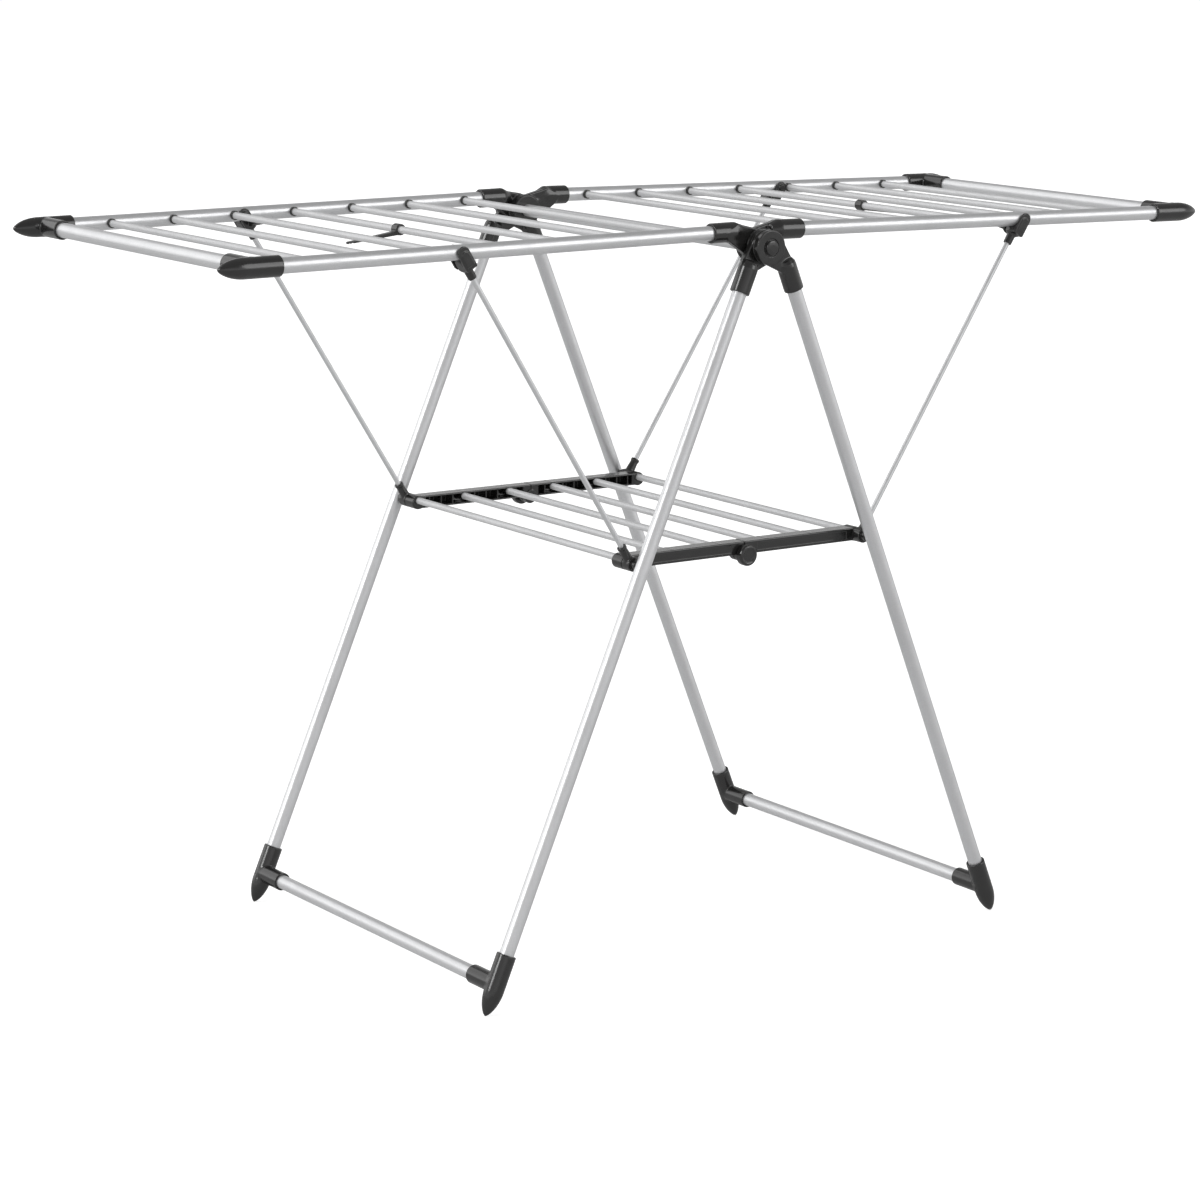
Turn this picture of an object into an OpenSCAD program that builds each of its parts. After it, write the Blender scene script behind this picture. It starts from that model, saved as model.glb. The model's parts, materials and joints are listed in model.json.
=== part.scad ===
// Folding gull-wing clothes drying rack: two leg frames hinged on one axle, two wings of
// hanging rods held up by four clip-on struts, and a folding rod shelf between the legs.
// X runs along the wings, Y along the rods, Z up. The origin is the floor point under the centre.

/* [Leg frames] */
// Height of the hinge axle above the floor
pivot_z = 883; // [800:1:1000]
// Angle of each leg from the vertical when the rack stands open
leg_angle = 23; // [20:0.5:26]
// Distance of each leg's axis from the hinge axis
leg_off = 17.5; // [16:0.5:20]
// Distance of the leg tubes from the middle plane, front and back
leg_y = 273; // [260:1:300]
// Outside diameter of the leg, rail and cross tubes
tube_d = 18; // [16:1:19]
// Wall thickness of the leg, rail and cross tubes
tube_wall = 1; // [0.8:0.1:1.5]

/* [Wings] */
// Distance from the hinge axis to the tip of a wing
wing_len = 728; // [700:1:800]
// Distance of the side rails from the middle plane
rail_y = 248; // [240:1:250]
// Height of the side rails above the hinge axis
rail_up = 18; // [17:0.5:20]
// Droop of the open wing below level
wing_droop = 0.7; // [0:0.1:2]
// Distance from the hinge axis to the first hanging rod
rod_first = 96; // [90:1:100]
// Spacing of the hanging rods
rod_pitch = 84.3; // [80:0.1:90]
// Number of hanging rods on a wing
rod_count = 7; // [5:1:7]
// Diameter of the hanging rods and shelf rods
rod_d = 8.7; // [7:0.1:9]

/* [Struts] */
// Distance from the hinge axis to the strut clip, along the wing
clip_x = 420; // [410:1:430]
// Diameter of the strut rods
strut_d = 6.5; // [6:0.5:8]

/* [Shelf] */
// Height of the shelf pivots on the legs
shelf_z = 515; // [480:1:540]
// Drop of the middle pivot below the shelf pivots
mid_drop = 8.2; // [8.2:0.1:12]
// Height of the moulded shelf rails
shelf_h = 16; // [15:0.5:16]
// Distance of the shelf rails' inner edge from the middle plane
shelf_in_y = 221; // [210:1:225]
// Distance between shelf rods on each half
shelf_pitch = 70; // [65:0.5:72]
// Height of the shelf rods above the middle of the shelf rails
shelf_rod_up = 2.5; // [1:0.5:3.5]

/* [Plastic parts] */
// Outside diameter of the moulded sleeves
sleeve_d = 24; // [22:1:24]
// Length of a foot or corner connector from its tip to its rim
connector_len = 77; // [74:1:90]
// Distance from a connector's tip to the axis of its side stub
stub_at = 40; // [38:1:44]
// Length of the side stub from the axis of the main tube
stub_len = 48; // [40:1:70]
// Radius of the leg hinge discs
leg_hub_r = 21; // [19:0.5:22]
// Distance of the outer face of the leg hinge discs from the leg tubes' axis
hub_out = 7.5; // [6:0.5:10]
// Radius of the wing hinge discs
wing_hub_r = 20; // [18:0.5:21]

/* [Hidden] */

$fn = 64;
LEFT = -1;
RIGHT = 1;
FRONT = -1;
BACK = 1;
METAL = [0.74, 0.75, 0.76];
ROD_METAL = [0.8, 0.81, 0.82];
PLASTIC = [0.2, 0.2, 0.2];
STEEL = [0.6, 0.6, 0.62];

tube_r = tube_d / 2;
sleeve_r = sleeve_d / 2;
// Pointed nose of the feet and corners
nose_len = 30;
nose_r = 5;
nose_tip = [nose_r * 0.62, nose_r * 0.32, nose_r * 0.45];
nose_steps = 8;
rim_chamfer = 1;
// Clearance of a tube in a moulded sleeve, and of a turning part on its pin
fit = 0.05;
// Gap between flat faces that turn past each other
lap_gap = 0.6;
// Material removed past a face, so that cuts run clean through
over = 1;

// Leg geometry, measured along the leg from the foot of the hinge axis
leg_len = (pivot_z + leg_off * sin(leg_angle)) / cos(leg_angle);
tube_seat = 46;
socket_end = 64;
socket_top = 30;
socket_low = 36;
socket_cone = 10;
socket_nose_r = 5;
stud_seat = 4;
shelf_s = (pivot_z - shelf_z + leg_off * sin(leg_angle)) / cos(leg_angle);
shelf_x = shelf_s * sin(leg_angle) + leg_off * cos(leg_angle);

// Hinge layers, outwards from the middle plane
axle_r = 8;
axle_wall = 1.5;
pin_r = 5;
axle_end = rail_y - sleeve_r - lap_gap;
pin_end = leg_y + hub_out + 1;
spigot_len = 30;
cap_r = 9;
cap_h = 2.8;
cap_gap = 0.4;
slot_depth = 0.8;
slot_w = 1.8;

// Wing geometry, measured along the wing from the hinge axis
corner_x = wing_len - nose_tip[2];
knuckle_root = 20;
knuckle_root_r = 5.5;
knuckle_in = 33;
knuckle_seat = 34;
knuckle_end = 67;
knuckle_web = 45;
rod_wall = 0.8;
rod_end = rail_y - 5;
collar_r = 5.8;
collar_face = rail_y - tube_r - 3.5;
collar_sink = 2;
peg_r = 2;
hook_rod = 3;
// Angle of the hook's arm below the wing, and the hooks' places along their rods
hook_drop = 5;
hook_at = [-7, -22];
hook_len = 72;
hook_r = 7;
hook_w = 6;
hook_root = -1;
hook_low = -5.6;
hook_tip = -2.4;

// Strut geometry: from the shelf pivot to the rail's axis above the clip
clip_pos = [clip_x * cos(wing_droop) + rail_up * sin(wing_droop),
    pivot_z + rail_up * cos(wing_droop) - clip_x * sin(wing_droop)];
strut_run = clip_pos[0] - shelf_x;
strut_rise = clip_pos[1] - shelf_z;
strut_tilt = atan2(strut_run, strut_rise);
strut_len = norm([strut_run, strut_rise]);
// and the moulded fittings at both ends of the strut
clip_w = 15;
plate_t = 3;
clip_low = 22;
clip_socket_low = 36;
strut_socket_r = 5.25;
rod_seat = 24;
clip_reach = 2.4;
keeper_gap = 0.2;
keeper_w = 12;
tab_len = 22;
tab_w = 10;
tab_t = 2.5;
eye_r = 9;
eye_in = rail_y - 6.2;
eye_out = rail_y + 8;
eye_boss_r = 7;
eye_socket = 26;
eye_seat = 12;
stud_r = 4;
stud_hold = 9;

// Shelf rail layers
shelf_out_y = shelf_in_y + 20;
shelf_mid_y = (shelf_in_y + shelf_out_y) / 2;
lobe_r = 9;
web_t = 3;
flange_t = 2.2;
boss_r = 6.5;
shelf_rod_x = [shelf_pitch / 2, shelf_pitch * 1.5, shelf_pitch * 2.5];
shelf_rod_end = [shelf_out_y - 5, shelf_out_y - 5, shelf_in_y + 8];
knob_gap = 0.3;
knob_r = 13;
knob_h = 10;

// The point where a line from p touches a circle of radius r about the origin
function touch(p, r, side) =
    let (a = atan2(p[1], p[0]) + side * acos(r / norm(p))) [r * cos(a), r * sin(a)];

// ---- Placing helpers ----

// Mirrors a right-hand piece to the given side
module on_side(side) {
    mirror([side == LEFT ? 1 : 0, 0, 0]) children();
}

// Turns a piece drawn at the front, with +Y outwards, to the given end
module at_end(end) {
    mirror([0, end == FRONT ? 1 : 0, 0]) children();
}

// Leg frame: Z runs up the leg, X outwards, from the hinge axis
module in_leg(side) {
    on_side(side) translate([0, 0, pivot_z]) rotate([0, -leg_angle, 0]) children();
}

// Wing frame: X runs along the wing from the hinge axis
module in_wing(side) {
    on_side(side) translate([0, 0, pivot_z]) rotate([0, wing_droop, 0]) children();
}

// Strut frame: Z runs up the strut from the shelf pivot
module in_strut(side) {
    on_side(side) translate([shelf_x, 0, shelf_z]) rotate([0, strut_tilt, 0]) children();
}

// A round bar along Y between two distances from the middle plane
module bar_y(r, from, to) {
    translate([0, from, 0]) rotate([-90, 0, 0]) cylinder(r = r, h = to - from);
}

// A tube along Y, centred on the middle plane
module tube_y(r, wall, half) {
    difference() {
        bar_y(r, -half, half);
        bar_y(r - wall, -half - over, half + over);
    }
}

// A flat plate of a 2D outline in X and Z, between two distances from the middle plane
module plate_y(from, to) {
    translate([0, to, 0]) rotate([90, 0, 0]) linear_extrude(height = to - from) children();
}

// ---- Moulded connector for the feet and the wing corners ----

// Outline radius of the pointed nose at distance t from the tip
function nose_radius(t) = nose_r + (sleeve_r - nose_r) * sin(90 * t / nose_len);

module connector_body() {
    nose = [for (i = [0 : nose_steps])
        [nose_radius(nose_len * i / nose_steps), nose_len * i / nose_steps]];
    rotate_extrude() polygon(concat(
        [[0, -nose_tip[2]], [nose_tip[0], -nose_tip[1]]],
        nose,
        [[sleeve_r, connector_len - rim_chamfer], [sleeve_r - rim_chamfer, connector_len],
            [0, connector_len]]));
}

// Tip at the origin, main sleeve along +Z, side stub along -Y
module tee_connector() {
    difference() {
        union() {
            connector_body();
            translate([0, 0, stub_at]) bar_y(sleeve_r, -stub_len, 0);
        }
        translate([0, 0, tube_seat]) cylinder(r = tube_r + fit, h = connector_len);
        translate([0, 0, stub_at]) bar_y(tube_r + fit, -stub_len - over, -sleeve_r);
    }
}

// ---- Axle ----

module axle_tube() {
    color(METAL) translate([0, 0, pivot_z]) tube_y(axle_r, axle_wall, axle_end);
}

module hinge_pins() {
    color(STEEL) for (end = [FRONT, BACK]) at_end(end) translate([0, 0, pivot_z]) {
        bar_y(pin_r, axle_end - over, pin_end);
        bar_y(axle_r - axle_wall, axle_end - spigot_len, axle_end - over);
    }
}

module hinge_caps() {
    cap_in = leg_y + hub_out + cap_gap;
    slot_len = cap_r * 1.2;
    color(PLASTIC) for (end = [FRONT, BACK]) at_end(end) translate([0, 0, pivot_z])
        difference() {
            bar_y(cap_r, cap_in, cap_in + cap_h);
            bar_y(pin_r + fit, cap_in - over, pin_end + fit);
            translate([-slot_len / 2, cap_in + cap_h - slot_depth, -slot_w / 2])
                cube([slot_len, over, slot_w]);
        }
}

// ---- Leg frames ----

module leg_tube(side, end) {
    bottom = -(leg_len - tube_seat);
    top = -socket_low;
    color(METAL) in_leg(side) at_end(end) difference() {
        translate([leg_off, leg_y, bottom]) cylinder(r = tube_r, h = top - bottom);
        translate([leg_off, leg_y, bottom - over])
            cylinder(r = tube_r - tube_wall, h = top - bottom + 2 * over);
        translate([leg_off, 0, -shelf_s])
            bar_y(stud_r + fit, leg_y - tube_r - over, leg_y - stud_seat + over);
    }
}

module cross_tube(side) {
    color(METAL) in_leg(side) translate([leg_off, 0, -(leg_len - stub_at)])
        tube_y(tube_r, tube_wall, leg_y - sleeve_r);
}

// Everything under the floor, to cut the noses of the feet flat
module below_floor() {
    translate([-wing_len, -wing_len, -wing_len]) cube([wing_len * 2, wing_len * 2, wing_len]);
}

module foot(side, end) {
    color(PLASTIC) difference() {
        in_leg(side) at_end(end) translate([leg_off, leg_y, -leg_len]) tee_connector();
        below_floor();
    }
}

// The left discs turn inside the right discs, on either side of the tubes' axis
module leg_socket(side, end) {
    from = side == LEFT ? leg_y - sleeve_r : leg_y + lap_gap / 2;
    to = side == LEFT ? leg_y - lap_gap / 2 : leg_y + hub_out;
    outer = [leg_off + socket_nose_r, -socket_top + socket_cone];
    inner = [leg_off - sleeve_r, -socket_low];
    color(PLASTIC) in_leg(side) at_end(end) difference() {
        union() {
            translate([leg_off, leg_y, -socket_end])
                cylinder(r = sleeve_r, h = socket_end - socket_top);
            translate([leg_off, leg_y, -socket_top])
                cylinder(r1 = sleeve_r, r2 = socket_nose_r, h = socket_cone);
            plate_y(from, to) union() {
                circle(r = leg_hub_r);
                polygon([[0, 0], touch(inner, leg_hub_r, -1), inner, outer, touch(outer, leg_hub_r, 1)]);
            }
        }
        translate([leg_off, leg_y, -socket_end - over])
            cylinder(r = tube_r + fit, h = socket_end - socket_low + over);
        bar_y(pin_r + fit, from - over, to + over);
    }
}

// Studs that carry the strut eyes; only the left ones reach into the shelf rails
module shelf_studs(side) {
    inner_end = side == LEFT ? shelf_out_y - stud_hold : shelf_out_y + lap_gap;
    color(STEEL) on_side(side) for (end = [FRONT, BACK]) at_end(end)
        translate([shelf_x, 0, shelf_z]) bar_y(stud_r, inner_end, leg_y - stud_seat);
}

// ---- Wings ----

module wing_rail(side, end) {
    length = corner_x - tube_seat - knuckle_seat;
    color(METAL) in_wing(side) at_end(end) difference() {
        translate([knuckle_seat, rail_y, rail_up]) rotate([0, 90, 0]) cylinder(r = tube_r, h = length);
        translate([knuckle_seat - over, rail_y, rail_up]) rotate([0, 90, 0])
            cylinder(r = tube_r - tube_wall, h = length + 2 * over);
        for (i = [0 : rod_count - 1]) translate([rod_first + i * rod_pitch, 0, rail_up])
            bar_y(rod_d / 2 + fit, rail_y - tube_r - over, rod_end);
        translate([clip_x, 0, rail_up]) bar_y(peg_r + fit, rail_y - tube_r - over, rod_end);
    }
}

module end_tube(side) {
    color(METAL) in_wing(side) translate([corner_x - stub_at, 0, rail_up])
        tube_y(tube_r, tube_wall, rail_y - sleeve_r);
}

module corner(side, end) {
    color(PLASTIC) in_wing(side) at_end(end) translate([corner_x, rail_y, rail_up])
        rotate([0, -90, 0]) tee_connector();
}

// The left knuckles turn outside the right knuckles, half a sleeve width each
module knuckle(side, end) {
    from = side == LEFT ? rail_y + lap_gap / 2 : rail_y - sleeve_r;
    to = side == LEFT ? rail_y + sleeve_r : rail_y - lap_gap / 2;
    top = [knuckle_in, rail_up + sleeve_r];
    low = [knuckle_web, rail_up - sleeve_r + 1];
    color(PLASTIC) in_wing(side) at_end(end) difference() {
        union() {
            translate([knuckle_in, rail_y, rail_up]) rotate([0, 90, 0])
                cylinder(r = sleeve_r, h = knuckle_end - knuckle_in);
            translate([knuckle_root, rail_y, rail_up]) rotate([0, 90, 0])
                cylinder(r1 = knuckle_root_r, r2 = sleeve_r, h = knuckle_in - knuckle_root);
            plate_y(from, to) union() {
                circle(r = wing_hub_r);
                polygon([[0, 0], touch(low, wing_hub_r, -1), low, [knuckle_web, rail_up],
                    [knuckle_in, rail_up], top, touch(top, wing_hub_r, 1)]);
            }
        }
        translate([knuckle_seat, rail_y, rail_up]) rotate([0, 90, 0])
            cylinder(r = tube_r + fit, h = knuckle_end);
        bar_y(pin_r + fit, from - over, to + over);
    }
}

module wing_rods(side) {
    color(ROD_METAL) in_wing(side) for (i = [0 : rod_count - 1])
        translate([rod_first + i * rod_pitch, 0, rail_up]) tube_y(rod_d / 2, rod_wall, rod_end);
}

module rod_collars(side) {
    color(PLASTIC) in_wing(side) for (end = [FRONT, BACK], i = [0 : rod_count - 1])
        at_end(end) translate([rod_first + i * rod_pitch, 0, rail_up]) difference() {
            bar_y(collar_r, collar_face, rail_y - tube_r + collar_sink);
            bar_y(rod_d / 2 + fit, collar_face - over, rail_y);
            translate([-collar_r * 2, rail_y, 0]) rotate([0, 90, 0])
                cylinder(r = tube_r + fit, h = collar_r * 4);
        }
}

// Keeper plate on the inner face of the rail, with its peg and finger tab
module clip_keepers(side) {
    face = rail_y - tube_r - keeper_gap;
    lean = strut_tilt - wing_droop;
    color(PLASTIC) in_wing(side) for (end = [FRONT, BACK]) at_end(end)
        translate([clip_x, 0, rail_up]) {
            rotate([0, lean, 0]) plate_y(face - plate_t, face) union() {
                circle(d = keeper_w);
                translate([0, -clip_low + keeper_w / 2]) circle(d = keeper_w);
                translate([-keeper_w / 2, -clip_low + keeper_w / 2])
                    square([keeper_w, clip_low - keeper_w / 2]);
            }
            bar_y(peg_r, face - over, rod_end);
            translate([-clip_w, face - plate_t - tab_len, -tube_r - tab_t])
                cube([tab_w, tab_len + over, tab_t]);
        }
}

// Hook on the middle of one rod: a collar with a tapering arm along the wing
module stow_hook(side) {
    color(PLASTIC) in_wing(side)
        translate([rod_first + hook_rod * rod_pitch, hook_at[side == LEFT ? 0 : 1], rail_up])
        rotate([0, hook_drop, 0]) difference() {
            union() {
                bar_y(hook_r, -hook_w, hook_w);
                plate_y(-hook_w / 2, hook_w / 2)
                    polygon([[0, hook_low], [hook_len, hook_low], [hook_len, hook_tip], [0, hook_root]]);
            }
            bar_y(rod_d / 2 + fit, -hook_w - over, hook_w + over);
        }
}

// ---- Struts ----

module strut_rod(side, end) {
    color(METAL) in_strut(side) translate([0, end * rail_y, eye_seat])
        cylinder(d = strut_d, h = strut_len - rod_seat - eye_seat);
}

// Clip on top of the strut: the body seats under the rail, the plate stands outside it
module strut_clip(side, end) {
    plate_in = rail_y + tube_r + lap_gap;
    body_in = rail_y - tube_r + clip_reach;
    saddle_len = clip_w * 4;
    color(PLASTIC) in_strut(side) at_end(end) difference() {
        union() {
            translate([0, 0, strut_len]) plate_y(plate_in, plate_in + plate_t) union() {
                circle(d = clip_w);
                translate([-clip_w / 2, -clip_low]) square([clip_w, clip_low]);
            }
            translate([-clip_w / 2, body_in, strut_len - clip_low])
                cube([clip_w, plate_in + over - body_in, clip_low - tube_r]);
            translate([0, rail_y, strut_len - clip_socket_low])
                cylinder(r = strut_socket_r, h = clip_socket_low - clip_low + over);
        }
        translate([0, rail_y, strut_len]) rotate([0, 90 - strut_tilt + wing_droop, 0])
            translate([0, 0, -saddle_len / 2]) cylinder(r = tube_r + lap_gap, h = saddle_len);
        translate([0, rail_y, strut_len - clip_socket_low - over])
            cylinder(d = strut_d + 2 * fit, h = clip_socket_low - rod_seat + over);
    }
}

module strut_eye(side, end) {
    color(PLASTIC) in_strut(side) at_end(end) difference() {
        union() {
            bar_y(eye_r, eye_in, eye_out);
            bar_y(eye_boss_r, eye_in, leg_y - tube_r - lap_gap);
            translate([0, rail_y, 0]) cylinder(r = strut_socket_r, h = eye_socket);
        }
        bar_y(stud_r + fit, eye_in - over, leg_y);
        translate([0, rail_y, eye_seat]) cylinder(d = strut_d + 2 * fit, h = eye_socket);
    }
}

// ---- Shelf ----

// Ribs of a half rail: pockets open inwards between the rod bosses
module shelf_pockets(low) {
    edges = [lobe_r + 1, shelf_rod_x[0], shelf_rod_x[1], shelf_x - lobe_r + boss_r - 1];
    for (i = [0 : 2]) {
        pocket_w = (edges[i + 1] - edges[i]) / 2 - boss_r - web_t / 2;
        for (x = [edges[i] + boss_r, (edges[i] + edges[i + 1] + web_t) / 2])
            translate([x, shelf_in_y - over, low + flange_t])
                cube([pocket_w, shelf_out_y - shelf_in_y + over - web_t, shelf_h - 2 * flange_t]);
    }
}

// One half rail: moulded channel, open inwards, with a lobe at each pivot.
// The left lobes turn outside the right lobes on the middle pin.
module shelf_rail(side, end) {
    low = shelf_z - shelf_h / 2;
    lobe_from = side == LEFT ? shelf_mid_y + lap_gap / 2 : shelf_in_y;
    lobe_to = side == LEFT ? shelf_out_y : shelf_mid_y - lap_gap / 2;
    other_from = side == LEFT ? shelf_in_y - over : shelf_mid_y - lap_gap / 2;
    other_to = side == LEFT ? shelf_mid_y + lap_gap / 2 : shelf_out_y + over;
    color(PLASTIC) on_side(side) at_end(end) difference() {
        union() {
            difference() {
                translate([lap_gap / 2, shelf_in_y, low])
                    cube([shelf_x - lap_gap / 2, shelf_out_y - shelf_in_y, shelf_h]);
                shelf_pockets(low);
            }
            translate([shelf_x, 0, shelf_z]) bar_y(lobe_r, shelf_in_y, shelf_out_y);
            translate([0, 0, shelf_z - mid_drop]) bar_y(lobe_r, lobe_from, lobe_to);
        }
        translate([0, 0, shelf_z - mid_drop]) bar_y(lobe_r + lap_gap, other_from, other_to);
        translate([0, 0, shelf_z - mid_drop])
            bar_y(stud_r + fit, shelf_in_y - over, shelf_out_y + over);
        for (i = [0 : 2]) translate([shelf_rod_x[i], 0, shelf_z + shelf_rod_up])
            bar_y(rod_d / 2 + fit, shelf_in_y - over, shelf_rod_end[i]);
        if (side == LEFT) translate([shelf_x, 0, shelf_z])
            bar_y(stud_r + fit, shelf_out_y - stud_hold, shelf_out_y + over);
    }
}

module shelf_rods(side) {
    color(ROD_METAL) on_side(side) for (i = [0 : 2])
        translate([shelf_rod_x[i], 0, shelf_z + shelf_rod_up])
            tube_y(rod_d / 2, rod_wall, shelf_rod_end[i]);
}

module shelf_knobs() {
    color(PLASTIC) for (end = [FRONT, BACK]) at_end(end) translate([0, 0, shelf_z - mid_drop]) {
        bar_y(knob_r, shelf_out_y + knob_gap, shelf_out_y + knob_h);
        bar_y(stud_r, shelf_in_y + over, shelf_out_y + over);
    }
}

// ---- Nodes ----

axle_tube();
hinge_pins();
hinge_caps();

leg_tube(LEFT, FRONT);  // left_leg_tube_front
leg_tube(LEFT, BACK);  // left_leg_tube_back
cross_tube(LEFT);  // left_cross_tube
foot(LEFT, FRONT);  // left_foot_front
foot(LEFT, BACK);  // left_foot_back
leg_socket(LEFT, FRONT);  // left_leg_socket_front
leg_socket(LEFT, BACK);  // left_leg_socket_back
shelf_studs(LEFT);  // left_shelf_studs

leg_tube(RIGHT, FRONT);  // right_leg_tube_front
leg_tube(RIGHT, BACK);  // right_leg_tube_back
cross_tube(RIGHT);  // right_cross_tube
foot(RIGHT, FRONT);  // right_foot_front
foot(RIGHT, BACK);  // right_foot_back
leg_socket(RIGHT, FRONT);  // right_leg_socket_front
leg_socket(RIGHT, BACK);  // right_leg_socket_back
shelf_studs(RIGHT);  // right_shelf_studs

wing_rail(LEFT, FRONT);  // left_rail_front
wing_rail(LEFT, BACK);  // left_rail_back
end_tube(LEFT);  // left_end_tube
corner(LEFT, FRONT);  // left_corner_front
corner(LEFT, BACK);  // left_corner_back
knuckle(LEFT, FRONT);  // left_knuckle_front
knuckle(LEFT, BACK);  // left_knuckle_back
wing_rods(LEFT);  // left_wing_rods
rod_collars(LEFT);  // left_rod_collars
clip_keepers(LEFT);  // left_clip_keepers
stow_hook(LEFT);  // left_stow_hook

wing_rail(RIGHT, FRONT);  // right_rail_front
wing_rail(RIGHT, BACK);  // right_rail_back
end_tube(RIGHT);  // right_end_tube
corner(RIGHT, FRONT);  // right_corner_front
corner(RIGHT, BACK);  // right_corner_back
knuckle(RIGHT, FRONT);  // right_knuckle_front
knuckle(RIGHT, BACK);  // right_knuckle_back
wing_rods(RIGHT);  // right_wing_rods
rod_collars(RIGHT);  // right_rod_collars
clip_keepers(RIGHT);  // right_clip_keepers
stow_hook(RIGHT);  // right_stow_hook

strut_rod(LEFT, FRONT);  // left_strut_rod_front
strut_clip(LEFT, FRONT);  // left_strut_clip_front
strut_eye(LEFT, FRONT);  // left_strut_eye_front
strut_rod(LEFT, BACK);  // left_strut_rod_back
strut_clip(LEFT, BACK);  // left_strut_clip_back
strut_eye(LEFT, BACK);  // left_strut_eye_back
strut_rod(RIGHT, FRONT);  // right_strut_rod_front
strut_clip(RIGHT, FRONT);  // right_strut_clip_front
strut_eye(RIGHT, FRONT);  // right_strut_eye_front
strut_rod(RIGHT, BACK);  // right_strut_rod_back
strut_clip(RIGHT, BACK);  // right_strut_clip_back
strut_eye(RIGHT, BACK);  // right_strut_eye_back

shelf_rail(LEFT, FRONT);  // shelf_left_rail_front
shelf_rail(LEFT, BACK);  // shelf_left_rail_back
shelf_rods(LEFT);  // shelf_left_rods
shelf_rail(RIGHT, FRONT);  // shelf_right_rail_front
shelf_rail(RIGHT, BACK);  // shelf_right_rail_back
shelf_rods(RIGHT);  // shelf_right_rods
shelf_knobs();
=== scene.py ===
"""Looks of a folding gull-wing clothes drying rack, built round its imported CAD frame."""
import json
import math

import bpy
import numpy as np
from mathutils import Matrix, Vector


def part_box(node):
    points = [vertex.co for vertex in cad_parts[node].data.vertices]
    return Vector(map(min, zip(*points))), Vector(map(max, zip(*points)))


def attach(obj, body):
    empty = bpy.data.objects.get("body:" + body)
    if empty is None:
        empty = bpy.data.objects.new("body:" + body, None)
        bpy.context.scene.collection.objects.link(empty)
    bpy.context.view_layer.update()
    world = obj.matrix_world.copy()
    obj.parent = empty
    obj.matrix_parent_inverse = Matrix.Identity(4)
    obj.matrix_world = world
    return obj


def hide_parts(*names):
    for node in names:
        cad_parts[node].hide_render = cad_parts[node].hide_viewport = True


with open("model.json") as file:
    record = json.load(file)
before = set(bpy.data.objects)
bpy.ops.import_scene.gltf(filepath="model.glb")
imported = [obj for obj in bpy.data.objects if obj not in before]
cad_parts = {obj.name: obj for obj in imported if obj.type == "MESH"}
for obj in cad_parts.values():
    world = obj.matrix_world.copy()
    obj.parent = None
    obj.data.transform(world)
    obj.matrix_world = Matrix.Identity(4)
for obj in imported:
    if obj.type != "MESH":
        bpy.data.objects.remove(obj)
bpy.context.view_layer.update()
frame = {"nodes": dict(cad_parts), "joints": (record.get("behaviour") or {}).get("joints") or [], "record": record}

MM = 0.001
LEFT, RIGHT, FRONT, BACK = -1, 1, -1, 1
SIDES = {LEFT: "left", RIGHT: "right"}
ENDS = {FRONT: "front", BACK: "back"}
JOINT = {j["name"]: Vector(j["pos_m"]) / MM for j in frame["joints"]}


def middle(node):
    """Centre of a CAD node's box, in millimetres."""
    low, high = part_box(node)
    return (low + high) / (2 * MM)


# Places on the frame, in millimetres
PIVOT_Z = JOINT["fold"].z
SHELF_X, SHELF_Z = JOINT["strut_right_back_swing"].x, JOINT["strut_right_back_swing"].z
MID_Z = JOINT["shelf_right_fold"].z
LEG_Y = middle("right_leg_tube_back").y
RAIL_Y = middle("right_rail_back").y
LEG_ANGLE = math.radians(23)
WING_DROOP = math.radians(0.7)
LEG_OFF = 17.5
RAIL_UP = 18.0
CLIP_X = 420.0
WING_LEN = 728.0
HUB_OUT = 7.5
ROD_FIRST, ROD_PITCH, ROD_COUNT = 96.0, 84.3, 7
TUBE_R, SLEEVE_R, ROD_R = 9.0, 12.0, 4.35
GAP = 0.3
SHELF_IN, SHELF_OUT = 221.0, 241.0
SHELF_ROD_X = (35.0, 105.0, 175.0)
SHELF_ROD_UP = 2.5
LEG_LEN = (PIVOT_Z + LEG_OFF * math.sin(LEG_ANGLE)) / math.cos(LEG_ANGLE)
CLIP = (CLIP_X * math.cos(WING_DROOP) + RAIL_UP * math.sin(WING_DROOP),
        PIVOT_Z + RAIL_UP * math.cos(WING_DROOP) - CLIP_X * math.sin(WING_DROOP))
STRUT_TILT = math.atan2(CLIP[0] - SHELF_X, CLIP[1] - SHELF_Z)
STRUT_LEN = math.hypot(CLIP[0] - SHELF_X, CLIP[1] - SHELF_Z)


# ---- Distance fields: each takes points (n, 3) in millimetres and gives signed distances ----

def rounded(a, b, edge):
    """Joins two half-space-like distances into a solid with its edge rounded."""
    a, b = a + edge, b + edge
    return np.minimum(np.maximum(a, b), 0) + np.hypot(np.maximum(a, 0), np.maximum(b, 0)) - edge


def rod(p, start, end, r, edge=0.0):
    """A cylinder between two points."""
    start, end = np.array(start, float), np.array(end, float)
    length = np.linalg.norm(end - start)
    along = (p - start) @ ((end - start) / length)
    away = np.linalg.norm(p - start - along[:, None] * ((end - start) / length), axis=1)
    return rounded(away - r, np.abs(along - length / 2) - length / 2, edge)


def block(p, low, high, edge=0.0):
    """A box between two corners."""
    low, high = np.array(low, float), np.array(high, float)
    q = np.abs(p - (low + high) / 2) - (high - low) / 2 + edge
    return np.minimum(q.max(1), 0) + np.linalg.norm(np.maximum(q, 0), axis=1) - edge


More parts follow.
